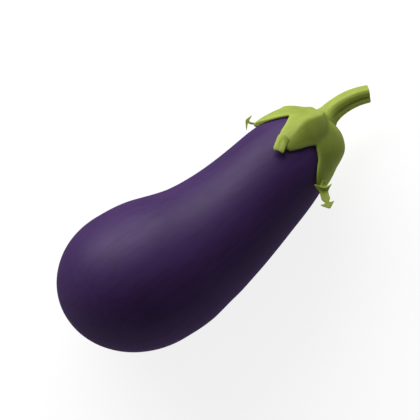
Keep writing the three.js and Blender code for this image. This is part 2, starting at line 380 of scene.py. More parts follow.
def waxy_skin(s, form):
    """Taut waxy skin of a ripe eggplant: satin, so light spreads over it in one broad soft sheen.

    The eye gets a near-black purple with faint darker streaks along the fruit, tiny paler
    pores, and paler violet where the calyx kept the sun off.
    """
    material, tree = new_material("waxy_purple_skin")
    place = add(tree, "ShaderNodeTexCoord").outputs["Object"]
    # Local axes: X along the fruit from its blossom end.
    level = form.rest.inverted()
    along = add(tree, "ShaderNodeMapping", {
        "Vector": place,
        "Location": level.translation,
        "Rotation": level.to_euler(),
    }, vector_type="POINT").outputs["Vector"]
    # Streaks are about 3 mm wide and 60 mm long.
    stretched = add(tree, "ShaderNodeMapping", {"Vector": along, "Scale": (16, 330, 330)}).outputs["Vector"]
    streaks = add(tree, "ShaderNodeTexNoise", {
        "Vector": stretched, "Scale": 1.0, "Detail": 5.0, "Roughness": 0.55})
    streak_share = add(tree, "ShaderNodeMapRange", {
        "Value": streaks.outputs["Fac"], "From Min": 0.42, "From Max": 0.72, "To Min": 0.0, "To Max": 0.75})
    # Blotches are about 40 mm across.
    blotches = add(tree, "ShaderNodeTexNoise", {"Vector": along, "Scale": 24.0, "Detail": 2.0})
    blotch_share = add(tree, "ShaderNodeMapRange", {
        "Value": blotches.outputs["Fac"], "From Min": 0.35, "From Max": 0.7, "To Min": 0.0, "To Max": 0.45})
    # Pores sit about 2.5 mm apart and are 0.5 mm across.
    pores = add(tree, "ShaderNodeTexVoronoi", {"Vector": along, "Scale": 400.0, "Randomness": 1.0})
    pore_share = add(tree, "ShaderNodeMapRange", {
        "Value": pores.outputs["Distance"], "From Min": 0.05, "From Max": 0.16,
        "To Min": 0.07, "To Max": 0.0})
    # The crown, under and just below the calyx, is paler, with an uneven edge.
    apart = add(tree, "ShaderNodeSeparateXYZ", {"Vector": along})
    shade = add(tree, "ShaderNodeTexNoise", {"Vector": along, "Scale": 90.0, "Detail": 3.0})
    edge = add(tree, "ShaderNodeMath", {0: shade.outputs["Fac"], 1: 0.014}, operation="MULTIPLY")
    reach = add(tree, "ShaderNodeMath", {0: apart.outputs["X"], 1: edge}, operation="ADD")
    crown = add(tree, "ShaderNodeMapRange", {
        "Value": reach, "From Min": s.length - 0.032, "From Max": s.length - 0.006,
        "To Min": 0.0, "To Max": 0.12}, interpolation_type="SMOOTHSTEP")
    # The scar at the blossom end is a dry disc about 5 mm across.
    scar = add(tree, "ShaderNodeMapRange", {
        "Value": apart.outputs["X"], "From Min": 0.00003, "From Max": 0.00014,
        "To Min": 0.85, "To Max": 0.0})
    skin = linear(s.skin)
    for share, code in ((streak_share, s.skin_deep), (blotch_share, s.skin_deep), (pore_share, s.pore),
                        (crown, s.skin_pale), (scar, s.scar)):
        skin = add(tree, "ShaderNodeMix", {"Factor": share, "A": skin, "B": linear(code)}, data_type="RGBA")
    # Wax lies a little unevenly, in patches about 8 mm across.
    wax = add(tree, "ShaderNodeTexNoise", {"Vector": along, "Scale": 130.0, "Detail": 4.0})
    rough = add(tree, "ShaderNodeMapRange", {
        "Value": wax.outputs["Fac"], "From Min": 0.3, "From Max": 0.7, "To Min": 0.51, "To Max": 0.57})
    dry = add(tree, "ShaderNodeMath", {0: scar, 1: 0.35}, operation="MULTIPLY")
    rough = add(tree, "ShaderNodeMath", {0: rough, 1: dry}, operation="ADD")
    grain = add(tree, "ShaderNodeBump", {
        "Height": streaks.outputs["Fac"], "Strength": 0.06, "Distance": 0.0004})
    dimples = add(tree, "ShaderNodeBump", {
        "Height": pore_share, "Normal": grain, "Strength": 0.12, "Distance": 0.0003})
    surface = add(tree, "ShaderNodeBsdfPrincipled", {
        "Base Color": skin, "Roughness": rough, "IOR": 1.45, "Specular IOR Level": 0.3, "Normal": dimples})
    add(tree, "ShaderNodeOutputMaterial", {"Surface": surface})
    return material


def fleshy_green(name, c, fibre):
    """Fleshy green plant tissue, thick and slightly hairy: matte with a soft sheen.

    The eye gets yellow green with darker grooves, fine lengthwise fibres, paler ridges and edges,
    and painted shade, a deeper green on the calyx's shaded side. The map runs along the fibres in U
    and across them in V, in metres; fibre is the width of one fibre.
    """
    material, tree = new_material(name)
    grain = add(tree, "ShaderNodeUVMap", uv_map="fibres").outputs["UV"]
    place = add(tree, "ShaderNodeTexCoord").outputs["Object"]
    tone = add(tree, "ShaderNodeAttribute", attribute_name="tone", attribute_type="GEOMETRY")
    parts = add(tree, "ShaderNodeSeparateColor", {"Color": tone.outputs["Color"]})
    # Fibres are drawn twice as coarse as they grow, so that they show.
    stretched = add(tree, "ShaderNodeMapping", {
        "Vector": grain, "Scale": (120, 1 / fibre, 1)}).outputs["Vector"]
    fibres = add(tree, "ShaderNodeTexNoise", {
        "Vector": stretched, "Scale": 1.0, "Detail": 4.0, "Roughness": 0.6})
    fibre_share = add(tree, "ShaderNodeMapRange", {
        "Value": fibres.outputs["Fac"], "From Min": 0.35, "From Max": 0.7, "To Min": 0.0, "To Max": 0.4})
    # Mottling lies in patches about 6 mm across.
    mottle = add(tree, "ShaderNodeTexNoise", {"Vector": place, "Scale": 170.0, "Detail": 4.0})
    mottle_share = add(tree, "ShaderNodeMapRange", {
        "Value": mottle.outputs["Fac"], "From Min": 0.4, "From Max": 0.72, "To Min": 0.0, "To Max": 0.35})
    layers = [(mottle_share, c.green_deep), (fibre_share, c.green_deep)]
    # The tone kept on the mesh: painted shade in blue, pale edges and ridges in red, dry tips in green.
    for channel, strength, code in (("Blue", 0.75, c.green_painted_shade), ("Red", 0.7, c.green_edge),
                                    ("Green", 0.8, c.dry)):
        layers.append((add(tree, "ShaderNodeMath", {
            0: parts.outputs[channel], 1: strength}, operation="MULTIPLY"), code))
    green = linear(c.green)
    for share, code in layers:
        green = add(tree, "ShaderNodeMix", {"Factor": share, "A": green, "B": linear(code)}, data_type="RGBA")
    rough = add(tree, "ShaderNodeMapRange", {
        "Value": fibres.outputs["Fac"], "From Min": 0.3, "From Max": 0.7, "To Min": 0.5, "To Max": 0.66})
    lines = add(tree, "ShaderNodeBump", {
        "Height": fibres.outputs["Fac"], "Strength": 0.35, "Distance": 0.0004})
    bumps = add(tree, "ShaderNodeBump", {
        "Height": mottle.outputs["Fac"], "Normal": lines, "Strength": 0.2, "Distance": 0.0005})
    surface = add(tree, "ShaderNodeBsdfPrincipled", {
        "Base Color": green, "Roughness": rough, "IOR": 1.42, "Specular IOR Level": 0.3, "Normal": bumps})
    add(tree, "ShaderNodeOutputMaterial", {"Surface": surface})
    return material


# ---- Fruit ----


def fruit_rule(s):
    """The rule for the fruit: rings spread evenly along its outline, swung by its bend."""
    knots = {**stretch_inputs("Outline", fruit_outline(s)), **stretch_inputs("Bend", fruit_bend(s))}
    numbers = {"Length": s.length, "Unevenness": s.uneven, "Seed": float(s.seed), "Rest tilt": s.tilt}
    counts = {"Rings": s.rings, "Sides": s.sides}
    tree, knobs = new_tree("Fruit form", (
        [(label, "NodeSocketVector", value) for label, value in knots.items()]
        + [(label, "NodeSocketFloat", value) for label, value in numbers.items()]
        + [(label, "NodeSocketInt", value) for label, value in counts.items()]
        + [("Rest place", "NodeSocketVector", (0, 0, 0))]))
    outline = stretches_in_tree(tree, knobs, "Outline", 3)
    bend = stretches_in_tree(tree, knobs, "Bend", 2)
    sheet = add(tree, "GeometryNodeMeshGrid", {
        "Size X": 1.0, "Size Y": 1.0, "Vertices X": knobs["Rings"], "Vertices Y": knobs["Sides"]})
    flat = add(tree, "GeometryNodeInputPosition")
    shares = add(tree, "ShaderNodeVectorMath", {0: flat, 1: (0.5, 0.5, 0)}, operation="ADD")
    shares = add(tree, "ShaderNodeSeparateXYZ", {"Vector": shares})
    ring = add(tree, "GeometryNodeSampleCurve", {
        "Curves": outline, "Factor": shares.outputs["X"]}, mode="FACTOR", use_all_curves=True)
    ring = add(tree, "ShaderNodeSeparateXYZ", {"Vector": ring.outputs["Position"]})
    part = add(tree, "ShaderNodeMath", {0: ring.outputs["X"], 1: knobs["Length"]}, operation="DIVIDE")
    swing = add(tree, "GeometryNodeSampleCurve", {
        "Curves": bend, "Factor": part}, mode="FACTOR", use_all_curves=True)
    swing = add(tree, "ShaderNodeSeparateXYZ", {"Vector": swing.outputs["Position"]})
    angle = add(tree, "ShaderNodeMath", {0: shares.outputs["Y"], 1: math.tau}, operation="MULTIPLY")
    sine = add(tree, "ShaderNodeMath", {0: angle}, operation="SINE")
    cosine = add(tree, "ShaderNodeMath", {0: angle}, operation="COSINE")
    side = add(tree, "ShaderNodeMath", {
        0: sine, 1: ring.outputs["Y"], 2: swing.outputs["Y"]}, operation="MULTIPLY_ADD")
    rise = add(tree, "ShaderNodeMath", {0: cosine, 1: ring.outputs["Y"]}, operation="MULTIPLY")
    spot = add(tree, "ShaderNodeCombineXYZ", {
        "X": ring.outputs["X"], "Y": side, "Z": rise})
    formed = add(tree, "GeometryNodeSetPosition", {
        "Geometry": sheet.outputs["Mesh"], "Position": spot})
    closed = add(tree, "GeometryNodeMergeByDistance", {
        "Geometry": formed.outputs["Geometry"], "Distance": 0.00002})
    # Soft waves 35 mm apart, as no grown fruit is quite round.
    here = add(tree, "GeometryNodeInputPosition")
    waves = add(tree, "ShaderNodeTexNoise", {
        "Vector": here, "W": knobs["Seed"], "Scale": 28.0, "Detail": 1.0},
        noise_dimensions="4D")
    centred = add(tree, "ShaderNodeMath", {0: waves.outputs["Fac"], 1: 0.5}, operation="SUBTRACT")
    depth = add(tree, "ShaderNodeMath", {0: centred, 1: knobs["Unevenness"]}, operation="MULTIPLY")
    out = add(tree, "GeometryNodeInputNormal")
    push = add(tree, "ShaderNodeVectorMath", {
        0: out.outputs["Normal"], "Scale": depth}, operation="SCALE")
    waved = add(tree, "GeometryNodeSetPosition", {
        "Geometry": closed.outputs["Geometry"], "Offset": push})
    lean = add(tree, "ShaderNodeCombineXYZ", {"Y": knobs["Rest tilt"]})
    lying = add(tree, "GeometryNodeTransform", {
        "Geometry": waved.outputs["Geometry"], "Rotation": lean,
        "Translation": knobs["Rest place"]})
    # The flat spot: nothing goes below the surface it rests on.
    last = add(tree, "GeometryNodeInputPosition")
    pressed = add(tree, "ShaderNodeVectorMath", {
        0: last, 1: (-10.0, -10.0, 0.0)}, operation="MAXIMUM")
    rested = add(tree, "GeometryNodeSetPosition", {
        "Geometry": lying.outputs["Geometry"], "Position": pressed})
    real = add(tree, "GeometryNodeRealizeInstances", {"Geometry": rested.outputs["Geometry"]})
    coat = add(tree, "GeometryNodeSetMaterial", {"Geometry": real.outputs["Geometry"]})
    add(tree, "NodeGroupOutput", {"Geometry": coat.outputs["Geometry"]})
    return tree, coat, {**knots, **numbers, **counts}


class EGGPLANT_OT_fruit(bpy.types.Operator):
    """Grow the fruit from its outline and bend, and press it flat where it rests"""

    bl_idname = "eggplant.fruit"
    bl_label = "Fruit"

    def execute(self, context):
        s = context.scene.eggplant_fruit
        form = Form(s)
        tree, coat, sizes = fruit_rule(s)
        skin = waxy_skin(s, form)
        coat.inputs["Material"].default_value = skin
        fruit = grow("fruit_skin", tree, {**sizes, "Rest place": tuple(form.rest.translation)})
        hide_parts("fruit")
        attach(fruit, "root")
        return {"FINISHED"}


# ---- Calyx ----

# Five lobes as they grew, in turns from straight up and millimetres of run from the crown top.
# From and to: the notches on either side, and the run each is cut to. End: where the blade ends.
# Crest: how strong the ridge is, and fall: how fast it fades along the blade, fastest near 0.
# Edges: turns of the two edges at five even steps from the notches to the blade's end.
# The strip: its root as a turn, a run and a lift; its lead, how far it first runs along the skin
# and how far that heading is turned from straight down; its tip, as distances down the fruit,
# across and off the skin. Wide: half widths at root, waist and tail. Fat: how thick and rounded
# it is. Neck: how far it narrows before its tail. Fork: how far the tail's corners reach on, and
# slant: how far one reaches beyond the other. Roll: how far it is turned about its length at root
# and tail. Cuff: where a barbed band goes round it and how far that reaches.
LOBES = [
    {"from": (-9, 27.4), "to": (56, 28.0), "end": 44.2, "crest": 2.6, "fall": 0.8,
     "edges": ((-9, 56), (-3, 46.5), (1.0, 40.0), (4.8, 36.0), (8.5, 31.5)),
     "root": (24.0, 40.6, 2.6), "lead": (4.0, -6), "tip": (9.8, -4.6, 0.2),
     "wide": (3.9, 3.5, 2.9), "fat": 1.7, "neck": 0.0, "fork": 0.2, "slant": -0.6,
     "roll": (0, 0), "cuff": (0, 0)},
    {"from": (56, 28.0), "to": (127, 27.0), "end": 47.3, "crest": 1.15, "fall": 0.3,
     "edges": ((56, 127), (61, 121), (66.5, 114.0), (74, 106), (86, 97)),
     "root": (91, 43.5, 0.5), "lead": (4.0, 0), "tip": (6.6, 0.2, 5.2),
     "wide": (2.2, 0.7, 5.2), "fat": 1.0, "neck": 0.0, "fork": -3.2, "slant": 1.6,
     "roll": (0, 86), "cuff": (0, 0)},
    {"from": (127, 27.0), "to": (195, 26.0), "end": 41.0, "crest": 1.0, "fall": 0.8,
     "edges": ((127, 195), (137, 187), (144, 181), (149, 175), (155, 169)),
     "root": (162, 38.5, 0.1), "lead": (5.0, 0), "tip": (9.0, 1.5, 0.6),
     "wide": (2.5, 2.0, 2.8), "fat": 1.0, "neck": 0.0, "fork": 1.5, "slant": 0.0,
     "roll": (0, 0), "cuff": (0, 0)},
    {"from": (195, 26.0), "to": (265, 22.0), "end": 40.0, "crest": 1.0, "fall": 0.8,
     "edges": ((195, 265), (205, 256), (211, 250), (217, 244), (224, 237)),
     "root": (230, 37.5, 0.3), "lead": (4.0, 0), "tip": (7.5, -1.5, 5.5),
     "wide": (2.5, 1.6, 3.6), "fat": 1.0, "neck": 0.0, "fork": -1.5, "slant": 0.0,
     "roll": (0, 20), "cuff": (0.2, 0.8)},
    {"from": (265, 22.0), "to": (351, 27.4), "end": 40.6, "crest": 1.0, "fall": 0.8,
     "edges": ((265, 351), (275, 335.5), (280, 328.5), (284, 322), (287, 314.0)),
     "root": (309.5, 36.4, 2.5), "lead": (5.4, -33), "tip": (11.8, -5.6, 10.2),
     "wide": (1.5, 2.7, 4.6), "fat": 1.0, "neck": 0.6, "fork": -4.6, "slant": 0.0,
     "roll": (-30, -45), "cuff": (0.44, 3.8)},
]
COLUMNS = 12
CAP_ROWS = 10
BLADE_ROWS = 10
STRIP_COLUMNS = 6
STRIP_ROWS = 24
# How sharply a ridge rises to its crest: 1 would be a plain roof.
RIDGE_POWER = 1.15
# Places and lengths along a strip, from 0 at its root to 1 at its end.
TAIL_FROM = 0.89
NECK_AT, NECK_LENGTH = 0.87, 0.045
CUFF_LENGTH = 0.055
# The painted shade, a deeper green on the cap's shaded side: its turn from straight up and its width, in
# degrees.
PAINTED_SHADE_AT, PAINTED_SHADE_WIDTH = 345, 32
# Millimetres of the fibre map to a row and to a column, and columns from one lobe to the next.
FIBRE_ROW, FIBRE_COLUMN = 1.3, 1.9
FIBRE_LOBE = 14


def through(values, share):
    """A smooth value through evenly spaced ones."""
    place = min(max(share, 0.0), 1.0) * (len(values) - 1)
    i = min(int(place), len(values) - 2)
    part = place - i
    a, b = values[i], values[i + 1]
    before = values[i - 1] if i else 2 * a - b
    after = values[i + 2] if i + 2 < len(values) else 2 * b - a
    return (a * (1 - part) ** 2 * (1 + 2 * part) + b * part ** 2 * (3 - 2 * part)
            + (b - before) / 2 * part * (1 - part) ** 2 - (after - a) / 2 * part ** 2 * (1 - part))


class CalyxShape:
    """Places every point of the calyx: a ridged cap that parts into lobes, and their strips."""

    def __init__(self, form, c):
        self.form, self.c = form, c
        self.seat_middle, self.seat_facing, self.seat_side = form.seat(c)

    def cap_point(self, lobe, share, across, outer):
        c = self.c
        (first, first_reach), (last, last_reach) = lobe["from"], lobe["to"]
        angle = math.radians(mix(first, last, (across + 1) / 2))
        run = mix(c.seat, mix(first_reach, last_reach, (across + 1) / 2) * MM, share)
        if not outer:
            return self.form.off_skin(run, c.gap, angle)
        if share == 0:
            return (self.seat_middle + self.seat_side * c.seat * math.sin(angle)
                    + Vector((0, 0, c.seat * math.cos(angle))))
        # The shoulder is full on the side the seat leans away from.
        fullness = mix(-0.45, 1, 0.5 - 0.5 * math.sin(angle))
        shoulder = c.bulge * fullness * math.sin(math.pi * math.sqrt(share))
        valley = mix(c.seat_rise, c.thickness, ease(share, -0.1, 0.75)) + shoulder * 0.9
        ridge = (mix(c.seat_rise, c.thickness + c.crest * lobe["crest"], share) + shoulder
                 + c.swell * lobe["crest"] * math.sin(math.pi * share ** 0.7))
        height = c.gap + mix(valley, ridge, (1 - abs(across)) ** RIDGE_POWER)
        spot = self.form.off_skin(run, height, angle)
        spot.y += c.seat_shift * (1 - ease(share, 0.0, 0.55))
        return spot

    def blade_point(self, lobe, share, across, outer):
        c = self.c
        low = through([pair[0] for pair in lobe["edges"]], share)
        high = through([pair[1] for pair in lobe["edges"]], share)
        reach = mix(lobe["from"][1], lobe["to"][1], (across + 1) / 2)
        # The blade's end is rounded.
        run = mix(reach, lobe["end"] - 1.2 * across ** 4 * ease(share, 0.5, 1), share) * MM
        angle = math.radians(mix(low, high, (across + 1) / 2))
        if not outer:
            return self.form.off_skin(run, c.gap, angle)
        ridge = mix((1 - abs(across)) ** RIDGE_POWER, 1 - abs(across) ** 1.8, ease(share, 0, 0.8))
        crest = c.crest * lobe["crest"] * mix(1.0, 0.3, share ** lobe["fall"])
        height = c.gap + c.thickness * mix(1, 0.85, share) + crest * ridge
        return self.form.off_skin(run, height, angle)

    def strip_frame(self, lobe, share):
        """Middle of a strip and its along, side and outward directions."""
        turn_at, run, lift = lobe["root"]
        run, angle = run * MM, math.radians(turn_at)
        height = self.c.gap + lift * MM
        foot = self.form.off_skin(run, height, angle)
        down = (self.form.off_skin(run + 0.001, height, angle) - foot).normalized()
        out = (self.form.off_skin(run, height + 0.001, angle) - foot).normalized()
        across = out.cross(down)
        if across.dot(self.form.off_skin(run, height, angle + 0.01) - foot) < 0:
            across = -across
        tip_down, tip_across, tip_out = lobe["tip"]
        lead, heading = lobe["lead"][0] * MM, math.radians(lobe["lead"][1])
        bend = foot + (down * math.cos(heading) + across * math.sin(heading)) * lead
        tip = foot + (down * tip_down + across * tip_across + out * tip_out) * MM
        spot = foot * (1 - share) ** 2 + bend * 2 * share * (1 - share) + tip * share ** 2
        along = ((bend - foot) * (1 - share) + (tip - bend) * share).normalized()
        side = across * math.cos(heading) - down * math.sin(heading)
        side = (side - along * side.dot(along)).normalized()
        outward = side.cross(along)
        if outward.dot(out) < 0 and share == 0:
            raise RuntimeError("a strip of the calyx is rooted upside down")
        roll = math.radians(mix(*lobe["roll"], ease(share, 0.35, 0.95)))
        return spot, along, side * math.cos(roll) + outward * math.sin(roll), (
            outward * math.cos(roll) - side * math.sin(roll))

    def strip_point(self, lobe, share, across, outer):
        spot, along, side, outward = self.strip_frame(lobe, share)
        flare = ease(share, TAIL_FROM, 1.0)
        root, waist, tail = lobe["wide"]
        cuff_at, cuff_reach = lobe["cuff"]
        cuff = cuff_reach * hump(share, cuff_at, CUFF_LENGTH)
        half = mix(mix(root, waist, ease(share, 0.15, 0.6)), tail, flare)
        half = half * (0.72 + 0.28 * ease(share, 0, 0.1)) + cuff
        half *= 1 - lobe["neck"] * hump(share, NECK_AT, NECK_LENGTH)
        shift = (lobe["fork"] * (abs(across) - 0.4) + lobe["slant"] * across) * flare
        shift -= 0.9 * cuff * across * across
        thick = lobe["fat"] * self.c.strip_thickness / MM * mix(1.0, 0.5, share)
        thick = thick * (1 - 0.4 * flare * abs(across)) + 0.5 * cuff
        dip = 0.3 * thick * hump(across, 0, 0.3) * ease(share, 0.15, 0.6)
        spot = spot + (side * across * half + along * shift) * MM
        if outer:
            spot = spot + outward * (thick * (1.15 - 0.35 * lobe["fat"] * across * across) - dip) * MM
        return spot


def calyx_mesh(form, c):
    shape = CalyxShape(form, c)
    last = CAP_ROWS + BLADE_ROWS
    points, faces, tones, fibres, found = [], [], [], [], {}

    # The third tone, deep, is painted shade: a deeper green on the cap's shaded side.
    def keep(spot, pale, dry, deep=0.0):
        points.append(form.rest @ spot)
        tones.append((pale, dry, deep, 1.0))
        return len(points) - 1

    def painted_shade_share(lobe, row, across):
        """Painted shade: a deeper green on the cap's shaded side just past the top, fading out along the
        blades.
        """
        angle = mix(lobe["from"][0], lobe["to"][0], (across + 1) / 2)
        past = (angle - PAINTED_SHADE_AT + 180) % 360 - 180
        return hump(past, 0, PAINTED_SHADE_WIDTH) * ease(row, 1, 4) * (1 - ease(row, CAP_ROWS, last))

    def point(k, row, column, outer):
        """A grid point of lobe k. The cap's lobes share the points along their valleys."""
        if row <= CAP_ROWS and column == COLUMNS:
            k, column = (k + 1) % len(LOBES), 0
        key = (k, row, column, outer)
        if key not in found:
            across = column / COLUMNS * 2 - 1
            if row <= CAP_ROWS:
                spot = shape.cap_point(LOBES[k], row / CAP_ROWS, across, outer)
            else:
                spot = shape.blade_point(LOBES[k], (row - CAP_ROWS) / BLADE_ROWS, across, outer)
            edge = ease(abs(across), 0.7, 1.0) * ease(row, CAP_ROWS - 1, CAP_ROWS + 2)
            edge = max(edge, ease(row, last - 2, last))
            found[key] = keep(spot, max(edge, 0.35 * ease(1 - abs(across), 0.8, 1.0)), 0.0,
                              painted_shade_share(LOBES[k], row, across))
        return found[key]

    def strip_spot(k, row, column, outer):
        key = ("strip", k, row, column, outer)
        if key not in found:
            share = row / STRIP_ROWS
            across = column / STRIP_COLUMNS * 2 - 1
            found[key] = keep(shape.strip_point(LOBES[k], share, across, outer),
                              0.5 * abs(across), 0.3 * ease(share, 0.6, 1.0))
        return found[key]

    def face(k, place, corners):
        faces.append([place(k, row, column, side) for row, column, side in corners])
        fibres.append([(row * FIBRE_ROW * MM, (column + FIBRE_LOBE * k) * FIBRE_COLUMN * MM)
                       for row, column, side in corners])

    def sheet(k, place, rows, columns, start=0, end=None):
        """Outer and inner faces over rows and columns, from row start on."""
        for column in range(columns):
            for row in range(start, rows):
                corners = [(row, column), (row, column + 1), (row + 1, column + 1), (row + 1, column)]
                face(k, place, [(r, q, True) for r, q in corners])
                face(k, place, [(r, q, False) for r, q in reversed(corners)])
            face(k, place, [(rows, column, True), (rows, column + 1, True),
                            (rows, column + 1, False), (rows, column, False)])

    def sides(k, place, rows, columns, start):
        for row in range(start, rows):
            face(k, place, [(row, 0, True), (row + 1, 0, True), (row + 1, 0, False), (row, 0, False)])
            face(k, place, [(row + 1, columns, True), (row, columns, True),
                            (row, columns, False), (row + 1, columns, False)])

    seat = keep(shape.seat_middle, 0.2, 0.0)
    under = keep(form.off_skin(0, c.gap, 0), 0.0, 0.0)
    for k in range(len(LOBES)):
        for column in range(COLUMNS):
            faces.append([seat, point(k, 0, column + 1, True), point(k, 0, column, True)])
            faces.append([under, point(k, 0, column, False), point(k, 0, column + 1, False)])
            fibres.extend([[(0, 0)] * 3] * 2)
        sheet(k, point, last, COLUMNS)
        sides(k, point, last, COLUMNS, CAP_ROWS)
        sheet(k, strip_spot, STRIP_ROWS, STRIP_COLUMNS)
        sides(k, strip_spot, STRIP_ROWS, STRIP_COLUMNS, 0)
        for column in range(STRIP_COLUMNS):
            face(k, strip_spot, [(0, column + 1, True), (0, column, True),
                                 (0, column, False), (0, column + 1, False)])
    mesh = bpy.data.meshes.new("calyx_green")
    mesh.from_pydata([tuple(p) for p in points], [], faces)
    layer = mesh.uv_layers.new(name="fibres")
    layer.data.foreach_set("uv", [value for corners in fibres for pair in corners for value in pair])
    shade = mesh.color_attributes.new("tone", "FLOAT_COLOR", "POINT")
    shade.data.foreach_set("color", [value for tone in tones for value in tone])
    return mesh


class EGGPLANT_OT_calyx(bpy.types.Operator):
    """Lay the ridged green calyx over the crown, with its five lobes and their curled tips"""

    bl_idname = "eggplant.calyx"
    bl_label = "Calyx"

    def execute(self, context):
        form = Form(context.scene.eggplant_fruit)
        c = context.scene.eggplant_calyx
        mesh = calyx_mesh(form, c)
        finish_mesh(mesh)
        calyx = link("calyx_green", mesh)
        mesh.materials.append(fleshy_green("fleshy_calyx_green", c, 0.0009))
        smooth = calyx.modifiers.new("Round", "SUBSURF")
        smooth.levels = smooth.render_levels = 2
        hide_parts("calyx")
        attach(calyx, "root")
        return {"FINISHED"}


# ---- Stem ----

STEM_ROWS = 116
STEM_SIDES = 97
# Millimetres the stem's foot is sunk into its seat.
FOOT_SUNK = 0.9


def stem_path(form, c, t):
    """Foot, handle, handle and end of the stem's middle line."""
    seat, facing, _ = form.seat(c)
    foot = seat - facing * FOOT_SUNK * MM
    end = foot + Vector((t.reach, -t.drop, 0))
    last = Vector((math.cos(t.end_lean), math.sin(t.end_lean), 0))
    handle = t.reach * 0.36
    return [foot, foot + facing * handle, end - last * handle, end]


def stem_rule(form, c, t):
    """The rule for the stem: grooved rings along its middle line, closed at the foot and the cut."""
    foot, foot_handle, end_handle, end = stem_path(form, c, t)
    points = {"Foot": foot, "Foot handle": foot_handle, "End handle": end_handle, "End": end}
    numbers = {
        "Seat radius": c.seat, "Flare": 0.001, "Radius": t.radius, "Tip radius": t.tip_radius,
        "Groove": t.groove, "Groove turn": t.groove_turn, "Corners": 0.00035, "Ribs": t.ribs,
        "Dish": 0.0006, "Rest tilt": form.s.tilt}
    tree, knobs = new_tree("Stem form", (
        [(label, "NodeSocketVector", value) for label, value in points.items()]
        + [(label, "NodeSocketFloat", value) for label, value in numbers.items()]
        + [("Sides", "NodeSocketInt", STEM_SIDES), ("Rest place", "NodeSocketVector", (0, 0, 0))]))
    path = add(tree, "GeometryNodeCurvePrimitiveBezierSegment", {
        "Resolution": 96, "Start": knobs["Foot"], "Start Handle": knobs["Foot handle"],
        "End Handle": knobs["End handle"], "End": knobs["End"]}, mode="POSITION")
    sheet = add(tree, "GeometryNodeMeshGrid", {
        "Size X": 1.0, "Size Y": 1.0, "Vertices X": STEM_ROWS, "Vertices Y": knobs["Sides"]})
    flat = add(tree, "ShaderNodeSeparateXYZ", {"Vector": add(tree, "GeometryNodeInputPosition")})
    # Rows run out over the underside of the foot, up the wall, and in over the cut.
    run = add(tree, "ShaderNodeMapRange", {
        "Value": flat.outputs["X"], "From Min": -0.5, "From Max": 0.5, "To Min": -0.05, "To Max": 1.1})
    share = add(tree, "ShaderNodeClamp", {"Value": run})
    angle = add(tree, "ShaderNodeMath", {
        0: flat.outputs["Y"], 1: math.tau, 2: math.pi}, operation="MULTIPLY_ADD")
    sine = add(tree, "ShaderNodeMath", {0: angle}, operation="SINE")
    cosine = add(tree, "ShaderNodeMath", {0: angle}, operation="COSINE")
    # Radius: the wide foot, the taper and the soft flare onto the calyx.
    radius = add(tree, "ShaderNodeMapRange", {
        "Value": share, "From Min": 0.0, "From Max": 0.34, "To Min": knobs["Seat radius"],
        "To Max": knobs["Radius"]}, interpolation_type="SMOOTHSTEP")
    narrowing = add(tree, "ShaderNodeMath", {
        0: knobs["Tip radius"], 1: knobs["Radius"]}, operation="SUBTRACT")
    radius = add(tree, "ShaderNodeMath", {0: share, 1: narrowing, 2: radius}, operation="MULTIPLY_ADD")
    flare = add(tree, "ShaderNodeMapRange", {
        "Value": share, "From Min": 0.0, "From Max": 0.13, "To Min": knobs["Flare"], "To Max": 0.0},
        interpolation_type="SMOOTHSTEP")
    radius = add(tree, "ShaderNodeMath", {0: radius, 1: flare}, operation="ADD")
    # Five rounded corners, one deep groove and fine ribs, all grown out of a smooth foot.
    grown = add(tree, "ShaderNodeMapRange", {
        "Value": share, "From Min": 0.02, "From Max": 0.3}, interpolation_type="SMOOTHSTEP")
    fifth = add(tree, "ShaderNodeMath", {0: angle, 1: 5.0, 2: -2.0}, operation="MULTIPLY_ADD")
    corner = add(tree, "ShaderNodeMath", {0: fifth}, operation="COSINE")
    relief = add(tree, "ShaderNodeMath", {0: corner, 1: knobs["Corners"]}, operation="MULTIPLY")
    apart = add(tree, "ShaderNodeMath", {0: angle, 1: knobs["Groove turn"]}, operation="SUBTRACT")
    apart = add(tree, "ShaderNodeMath", {0: apart, 1: math.pi, 2: -math.pi}, operation="WRAP")
    apart = add(tree, "ShaderNodeMath", {0: apart}, operation="ABSOLUTE")
    hollow = add(tree, "ShaderNodeMapRange", {
        "Value": apart, "From Min": 0.0, "From Max": 0.42, "To Min": 1.0, "To Max": 0.0},
        interpolation_type="SMOOTHSTEP")
    groove = add(tree, "ShaderNodeMath", {0: hollow, 1: knobs["Groove"]}, operation="MULTIPLY")
    relief = add(tree, "ShaderNodeMath", {0: relief, 1: groove}, operation="SUBTRACT")
    ribbed = add(tree, "ShaderNodeMath", {0: angle, 1: 17.0, 2: share}, operation="MULTIPLY_ADD")
    ribbed = add(tree, "ShaderNodeMath", {0: ribbed}, operation="SINE")
    relief = add(tree, "ShaderNodeMath", {0: ribbed, 1: knobs["Ribs"], 2: relief}, operation="MULTIPLY_ADD")
    radius = add(tree, "ShaderNodeMath", {0: relief, 1: grown, 2: radius}, operation="MULTIPLY_ADD")
    opened = add(tree, "ShaderNodeMapRange", {"Value": run, "From Min": -0.05, "From Max": 0.0})
    shut = add(tree, "ShaderNodeMapRange", {
        "Value": run, "From Min": 1.0, "From Max": 1.1, "To Min": 1.0, "To Max": 0.0})
    radius = add(tree, "ShaderNodeMath", {0: radius, 1: opened}, operation="MULTIPLY")
    radius = add(tree, "ShaderNodeMath", {0: radius, 1: shut}, operation="MULTIPLY")
    across = add(tree, "ShaderNodeMath", {0: radius, 1: sine}, operation="MULTIPLY")
    rise = add(tree, "ShaderNodeMath", {0: radius, 1: cosine}, operation="MULTIPLY")
